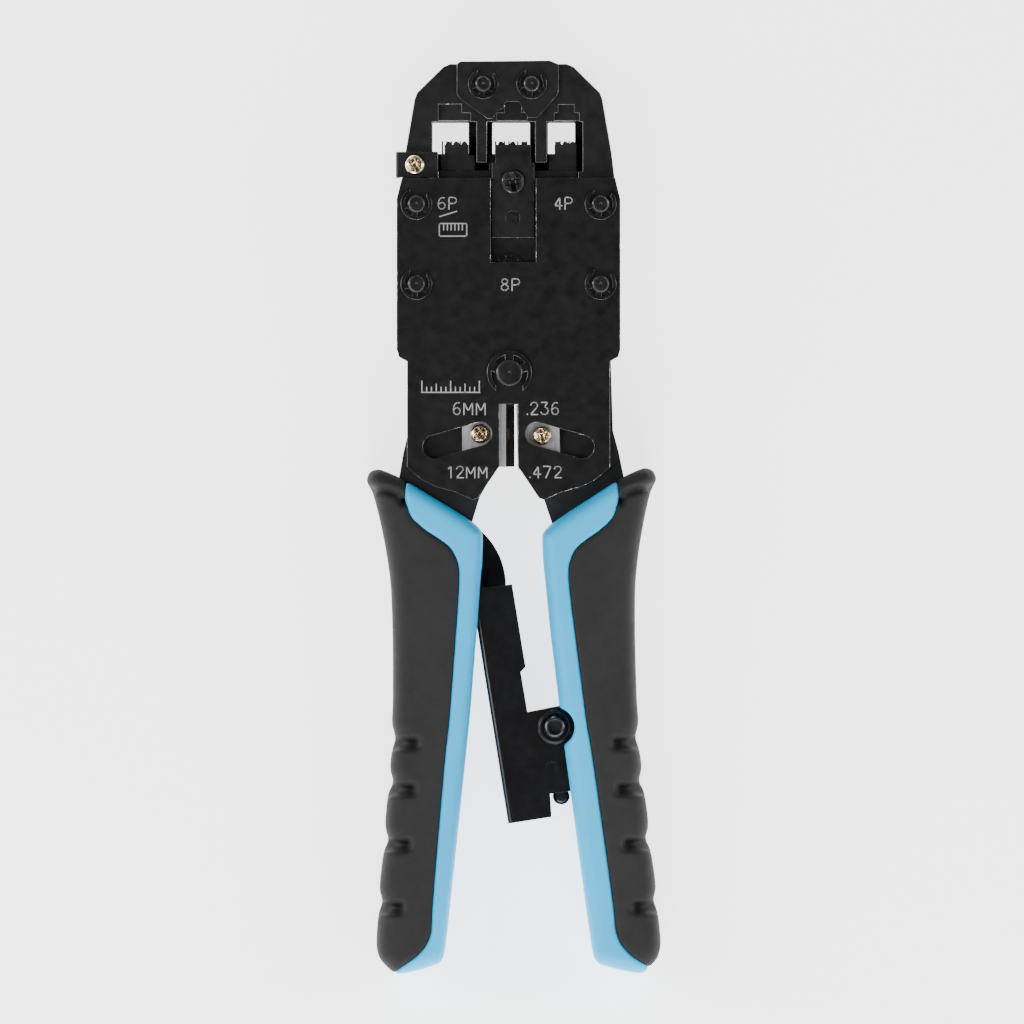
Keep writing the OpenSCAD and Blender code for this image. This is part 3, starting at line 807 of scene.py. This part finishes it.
def rounded_outline(points, rounds=2):
    """Corners cut and cut again, which leaves a smooth outline inside the first one."""
    for _ in range(rounds):
        cut = []
        for (x0, y0), (x1, y1) in zip(points, points[1:] + points[:1]):
            cut.append((x0 + 0.2 * (x1 - x0), y0 + 0.2 * (y1 - y0)))
            cut.append((x0 + 0.8 * (x1 - x0), y0 + 0.8 * (y1 - y0)))
        points = cut
    return points


def line_distance(points, x, y, closed=False):
    """Distance to a line of points over a flat grid."""
    best = np.full(x.shape, 1e9)
    ends = points[1:] + (points[:1] if closed else [])
    for (x0, y0), (x1, y1) in zip(points, ends):
        dx, dy = x1 - x0, y1 - y0
        share = np.clip(
            ((x - x0) * dx + (y - y0) * dy) / (dx * dx + dy * dy + 1e-12), 0, 1
        )
        best = np.minimum(best, (x - x0 - share * dx) ** 2 + (y - y0 - share * dy) ** 2)
    return np.sqrt(best)


def outline_distance(points, x, y):
    """Signed distance to a closed outline over a flat grid, negative inside."""
    inside = np.zeros(x.shape, bool)
    for (x0, y0), (x1, y1) in zip(points, points[1:] + points[:1]):
        if y0 == y1:
            continue
        crossed = ((y0 <= y) & (y < y1)) | ((y1 <= y) & (y < y0))
        inside ^= crossed & (x < x0 + (y - y0) * (x1 - x0) / (y1 - y0))
    return np.where(inside, -1.0, 1.0) * line_distance(points, x, y, True)


def smooth_max(a, b, blend):
    """The larger of two fields, with the corner between them rounded."""
    share = np.maximum(blend - np.abs(a - b), 0) / blend
    return np.maximum(a, b) + share * share * blend * 0.25


def smooth_step(low, high, value):
    share = np.clip((value - low) / (high - low), 0, 1)
    return share * share * (3 - 2 * share)


def pillow(flat, z, half, plan_round, depth_round):
    """A slab with the given outline field, rounded over towards its rim."""
    u = np.maximum(flat + plan_round, 0) / plan_round
    w = np.maximum(np.abs(z) - half + depth_round, 0) / depth_round
    power = 2.4
    return ((u**power + w**power) ** (1 / power) - 1) * min(plan_round, depth_round)


def skin(field, origin, step):
    """Points and quads round the zero level of a sampled field that is negative inside."""
    inside = field < 0
    shape = tuple(n - 1 for n in field.shape)
    corners = [(i, j, k) for i in (0, 1) for j in (0, 1) for k in (0, 1)]

    def at(values, corner):
        return values[
            corner[0] : corner[0] + shape[0],
            corner[1] : corner[1] + shape[1],
            corner[2] : corner[2] + shape[2],
        ]

    total = np.zeros(shape + (3,))
    count = np.zeros(shape)
    for a in corners:
        for axis in range(3):
            if a[axis]:
                continue
            b = tuple(1 if n == axis else a[n] for n in range(3))
            fa, fb = at(field, a), at(field, b)
            crosses = at(inside, a) != at(inside, b)
            share = np.where(crosses, fa / np.where(crosses, fa - fb, 1.0), 0.0)
            for n in range(3):
                total[..., n] += crosses * (a[n] + (share if n == axis else 0.0))
            count += crosses
    mixed = count > 0
    index = np.full(shape, -1)
    index[mixed] = np.arange(mixed.sum())
    cells = np.argwhere(mixed)
    points = (cells + total[mixed] / count[mixed][:, None]) * step + np.array(origin)
    quads = []
    for axis in range(3):
        one, two = (axis + 1) % 3, (axis + 2) % 3
        low = [slice(1, -1)] * 3
        high = [slice(1, -1)] * 3
        low[axis], high[axis] = slice(0, -1), slice(1, None)
        first, second = inside[tuple(low)], inside[tuple(high)]
        for rising in (True, False):
            place = np.argwhere((first & ~second) if rising else (~first & second))
            base = place + 1
            base[:, axis] -= 1
            ring = []
            for da, db in ((-1, -1), (0, -1), (0, 0), (-1, 0)):
                cell = base.copy()
                cell[:, one] += da
                cell[:, two] += db
                ring.append(index[cell[:, 0], cell[:, 1], cell[:, 2]])
            quad = np.stack(ring, 1)
            quads.append(quad if rising else quad[:, ::-1])
    return points, np.concatenate(quads)


def share_down(y):
    """How far down the grip a height is, from 0 at the fork to 1 at the end."""
    return min(max((4.0 - y) / 100.0, 0.0), 1.0)


def grip_fields(right):
    """The blue shell and the black cover of one handle, sampled in the left handle's place."""
    step = 0.45
    origin = (-35.0, -107.5, -12.3)
    count = [int(math.ceil(span / step)) + 1 for span in (33.5, 120.0, 24.6)]
    x, y = np.meshgrid(
        origin[0] + np.arange(count[0]) * step,
        origin[1] + np.arange(count[1]) * step,
        indexing="ij",
    )
    z = (origin[2] + np.arange(count[2]) * step)[None, None, :]
    depth = np.abs(z)

    def slab(points, half):
        """Room inside a flat outline up to a distance from the mid plane, positive inside."""
        return -np.maximum(outline_distance(points, x, y)[..., None], depth - half)

    outline = outline_distance(rounded_outline(GRIP_OUTLINE), x, y)[..., None]
    side = SHELL_SIDE
    if right:
        side = [(px - RIGHT_SHELL_GAIN * share_down(py), py) for px, py in SHELL_SIDE]
    boundary = outline_distance(rounded_outline(side), x, y)[..., None]
    rooms = [slab(LEVER_BAR, LEVER_ROOM_HALF)]
    if right:
        channel_room = [to_left(p) for p in RIGHT_CHANNEL_ROOM]
        rooms.append(slab(channel_room, CHANNEL_ROOM_HALF))
        rooms.append(slab(EAR_NECK, LEVER_ROOM_HALF))
        px, py = to_left(CHANNEL_PIVOT)
        hole = np.hypot(x - px, y - py)[..., None]
        rooms.append(RIVET_ROOM_R - hole + 0 * depth)
    else:
        rooms.append(slab(LEFT_RACK_ROOM, RACK_ROOM_HALF))
        rooms.append(slab(LEFT_CHANNEL_ROOM, CHANNEL_ROOM_HALF))
    shell = pillow(outline, z, GRIP_HALF - 0.35, 3.4, 5.0)
    shell = smooth_max(shell, boundary - SEAM_LAP, 0.9)
    cover = pillow(outline, z, GRIP_HALF - 0.03, 4.2, 6.0)
    cover = smooth_max(cover, 0.05 - boundary, 1.1)
    front = smooth_step(2.0, 8.0, depth)
    for gx, gy in FINGER_GROOVES:
        reach = line_distance([(gx, gy), (gx - 14, gy)], x, y)[..., None]
        cover = cover + GROOVE_DEPTH * (1 - smooth_step(0.2, 2.0, reach)) * front
    fold = line_distance(COLLAR_FOLD, x, y)[..., None]
    folded = FOLD_DEPTH * (1 - smooth_step(0.0, 1.5, fold)) * smooth_step(1, 6, depth)
    cover = cover + folded
    for room in rooms:
        shell = smooth_max(shell, room, 0.4)
        cover = smooth_max(cover, room, 0.4)
    return (shell, cover), origin, step


def build_grips():
    """Both grips. The right one is the left one mirrored and turned into its place."""
    for side in ("left", "right"):
        right = side == "right"
        fields, origin, step = grip_fields(right)
        for field, part, slot in zip(
            fields, ("grip_shell", "grip_cover"), ("blue_grip", "black_grip")
        ):
            points, quads = skin(field, origin, step)
            if right:
                points[:, 0] *= -1
                points[:, :2] = [turned(p, HANDLE_SKEW, RIGHT_PIVOT) for p in points[:, :2]]
                quads = quads[:, ::-1]
            points = (points + np.array(HEAD)) * MM
            node = f"{side}_{part}"
            data = bpy.data.meshes.new(node)
            data.from_pydata(points.tolist(), [], quads.tolist())
            data.polygons.foreach_set("use_smooth", [True] * len(data.polygons))
            made = named_object("fine_" + node, data, BODY_OF[node], [slot])
            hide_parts(node)


build_grips()


# Printed size marks on the front cover


GLYPHS = {
    "P": [[(0, 0), (0, 1), (0.4, 1), (0.58, 0.9), (0.62, 0.74), (0.58, 0.58), (0.4, 0.48),
           (0, 0.48)]],
    "M": [[(0, 0), (0, 1), (0.36, 0.3), (0.72, 1), (0.72, 0)]],
    "1": [[(0.12, 0.8), (0.34, 1), (0.34, 0)]],
    "2": [[(0.02, 0.78), (0.08, 0.93), (0.22, 1), (0.4, 1), (0.55, 0.92), (0.6, 0.76),
           (0.54, 0.58), (0, 0), (0.62, 0)]],
    "3": [[(0.04, 1), (0.58, 1), (0.3, 0.62), (0.46, 0.58), (0.6, 0.42), (0.6, 0.2),
           (0.46, 0.03), (0.24, 0), (0.06, 0.06), (0, 0.2)]],
    "4": [[(0.44, 0), (0.44, 1), (0, 0.3), (0.64, 0.3)]],
    "6": [[(0.5, 0.96), (0.34, 1), (0.14, 0.88), (0.03, 0.6), (0.02, 0.26), (0.12, 0.06),
           (0.3, 0), (0.48, 0.05), (0.58, 0.22), (0.56, 0.42), (0.42, 0.56), (0.24, 0.57),
           (0.06, 0.42)]],
    "7": [[(0, 1), (0.62, 1), (0.2, 0)]],
    "8": [
        [(0.3, 0.55), (0.12, 0.64), (0.05, 0.78), (0.12, 0.94), (0.3, 1), (0.48, 0.94),
         (0.55, 0.78), (0.48, 0.64), (0.3, 0.55)],
        [(0.3, 0.55), (0.08, 0.44), (0, 0.24), (0.1, 0.06), (0.3, 0), (0.5, 0.06),
         (0.6, 0.24), (0.52, 0.44), (0.3, 0.55)],
    ],
    ".": [[(0.05, 0), (0.05, 0.06)]],
}  # fmt: skip
ADVANCE = {".": 0.32, "M": 1.06, "1": 0.82}
USUAL_ADVANCE = 0.9


def stroke(mesh, points, width, low, high):
    """A flat printed line with rounded ends along head millimetre points."""
    for (x0, y0), (x1, y1) in zip(points, points[1:]):
        turn = math.atan2(y1 - y0, x1 - x0)
        rim = []
        for centre, start in (((x1, y1), -90), ((x0, y0), 90)):
            for i in range(7):
                a = turn + math.radians(start + i * 30)
                rim.append(
                    (
                        centre[0] + width / 2 * math.cos(a),
                        centre[1] + width / 2 * math.sin(a),
                    )
                )
        top = [mesh.verts.new(row(px, py, high)) for px, py in rim]
        bottom = [mesh.verts.new(row(px, py, low)) for px, py in rim]
        mesh.faces.new(top)
        mesh.faces.new(list(reversed(bottom)))
        for i in range(len(rim)):
            j = (i + 1) % len(rim)
            mesh.faces.new([bottom[i], bottom[j], top[j], top[i]])


def print_marks():
    """Cavity sizes, strip lengths in two units, a ruler and a plug sign, as one thin print."""
    mesh = bmesh.new()
    line_width = 0.27
    base, top_face = 9.59, 9.62
    lift = 0.0  # differs from line to line, so that crossing lines don't share a face

    def draw(points):
        nonlocal lift
        lift = (lift + 0.0004) % 0.004
        stroke(mesh, points, line_width, base, top_face + lift)

    for text, left, right, top, bottom in (
        ("6P", -16.2, -11.9, 73.2, 70.5),
        ("4P", 10.6, 14.7, 73.2, 70.5),
        ("8P", -1.7, 2.6, 54.5, 51.8),
        ("6MM", -12.7, -5.6, 26.1, 23.3),
        (".236", 4.2, 11.6, 26.1, 23.3),
        ("12MM", -14.1, -5.2, 11.4, 8.8),
        (".472", 4.8, 12.2, 11.4, 8.8),
    ):
        total = sum(ADVANCE.get(c, USUAL_ADVANCE) for c in text[:-1]) + 0.64
        scale_x, scale_y = (right - left) / total, top - bottom
        x = left
        for c in text:
            for points in GLYPHS[c]:
                draw([(x + px * scale_x, bottom + py * scale_y) for px, py in points])
            x += ADVANCE.get(c, USUAL_ADVANCE) * scale_x
    draw([(-15.8, 68.8), (-11.9, 70.0)])
    plug = [(-15.9, 64.3), (-15.9, 67.2), (-9.6, 67.2), (-9.6, 64.3), (-15.9, 64.3)]
    draw(plug)
    for i in range(6):
        x = -14.9 + i * 0.86
        draw([(x, 65.7), (x, 67.2)])
    draw([(-20.0, 28.4), (-6.6, 28.4)])
    for i in range(13):
        x = -19.9 + i * 1.1
        tall = 2.6 if i % 6 == 0 else 1.9 if i % 3 == 0 else 1.2
        draw([(x, 28.4), (x, 28.4 + tall)])
    data = bpy.data.meshes.new("cover_marks")
    mesh.to_mesh(data)
    mesh.free()
    named_object("cover_marks", data, "frame", ["print_white"])


print_marks()


# CAD nodes that stay, in their own finishes

for node, material in (
    ("pin_spacers", "pin_steel"),
    ("carriage_rivets", "pin_steel"),
    ("contact_blades", "contact_steel"),
    ("drive_pin", "pin_steel"),
    ("left_lever_rivets", "pin_steel"),
    ("right_lever_rivets", "pin_steel"),
    ("rack_pin", "pin_steel"),
    ("rack_pin_washers", "pin_steel"),
    ("rack_guides", "ratchet_steel"),
    ("pawl_pin", "ratchet_steel"),
):
    for slot in frame["nodes"][node].material_slots:
        slot.material = MATERIALS[material]


# Floor, lights and camera


def area_light(name, place, size, power):
    """A soft light that faces the tool."""
    light = bpy.data.lights.new(name, "AREA")
    light.shape = "RECTANGLE"
    light.size, light.size_y = size
    light.energy = power
    made = bpy.data.objects.new(name, light)
    bpy.context.scene.collection.objects.link(made)
    made.location = place
    made.rotation_euler = (-Vector(place)).to_track_quat("-Z", "Y").to_euler()


def build_sky():
    """A tent that is white at the grips' end, dim at the head's end and dark overhead."""
    world = bpy.data.worlds.new("studio")
    bpy.context.scene.world = world
    world.use_nodes = True
    tree = world.node_tree
    link = tree.links.new
    place = tree.nodes.new("ShaderNodeTexCoord")
    split = tree.nodes.new("ShaderNodeSeparateXYZ")
    link(place.outputs["Generated"], split.inputs[0])
    ramp = tree.nodes.new("ShaderNodeValToRGB")
    ramp.color_ramp.elements[0].position = 0.62
    ramp.color_ramp.elements[0].color = (0.72, 0.72, 0.73, 1)
    ramp.color_ramp.elements[1].position = 0.93
    ramp.color_ramp.elements[1].color = (0.02, 0.02, 0.021, 1)
    link(split.outputs["Z"], ramp.inputs["Fac"])
    link(ramp.outputs["Color"], tree.nodes["Background"].inputs["Color"])
    fall = tree.nodes.new("ShaderNodeMapRange")
    fall.inputs["From Min"].default_value = -1.0
    fall.inputs["To Min"].default_value = 1.6
    fall.inputs["To Max"].default_value = 0.35
    link(split.outputs["Y"], fall.inputs["Value"])
    link(fall.outputs["Result"], tree.nodes["Background"].inputs["Strength"])


def build_stage():
    """A pale floor, the lights and a far camera over the tool's middle."""
    mesh = bpy.data.meshes.new("floor")
    reach = 2.5
    floor_z = -0.0002
    corners = [(-reach, -reach), (reach, -reach), (reach, reach), (-reach, reach)]
    mesh.from_pydata([(x, y, floor_z) for x, y in corners], [], [(0, 1, 2, 3)])
    floor = bpy.data.objects.new("floor", mesh)
    bpy.context.scene.collection.objects.link(floor)
    paper = finish_material(
        "floor_paper", (0.86, 0.86, 0.86), (0.88, 0.88, 0.88), 0.9, bump=0.02, mottle=6
    )
    bsdf = paper.node_tree.nodes["Principled BSDF"]
    bsdf.inputs["Emission Color"].default_value = (1, 1, 1, 1)
    bsdf.inputs["Emission Strength"].default_value = 2.4
    mesh.materials.append(paper)
    build_sky()
    area_light("low_softbox", (0.0, -0.85, 0.6), (1.0, 0.3), 13)
    area_light("left_softbox", (-0.8, 0.15, 0.55), (0.3, 1.0), 7)
    area_light("right_softbox", (0.8, 0.1, 0.6), (0.3, 1.0), 5)
    area_light("key_strip", (0.15, -0.6, 0.95), (0.9, 0.08), 1.8)
    area_light("edge_strip", (-0.5, -0.1, 0.95), (0.08, 0.7), 2.0)
    camera_data = bpy.data.cameras.new("camera")
    distance = 5.0
    view_width = 0.2355
    camera_data.sensor_width = 36.0
    camera_data.lens = 36.0 * distance / view_width
    camera_data.clip_end = 20
    camera = bpy.data.objects.new("camera", camera_data)
    bpy.context.scene.collection.objects.link(camera)
    camera.location = (-0.365 * MM, 1.35 * MM, 0.016 + distance)
    bpy.context.scene.camera = camera


build_stage()
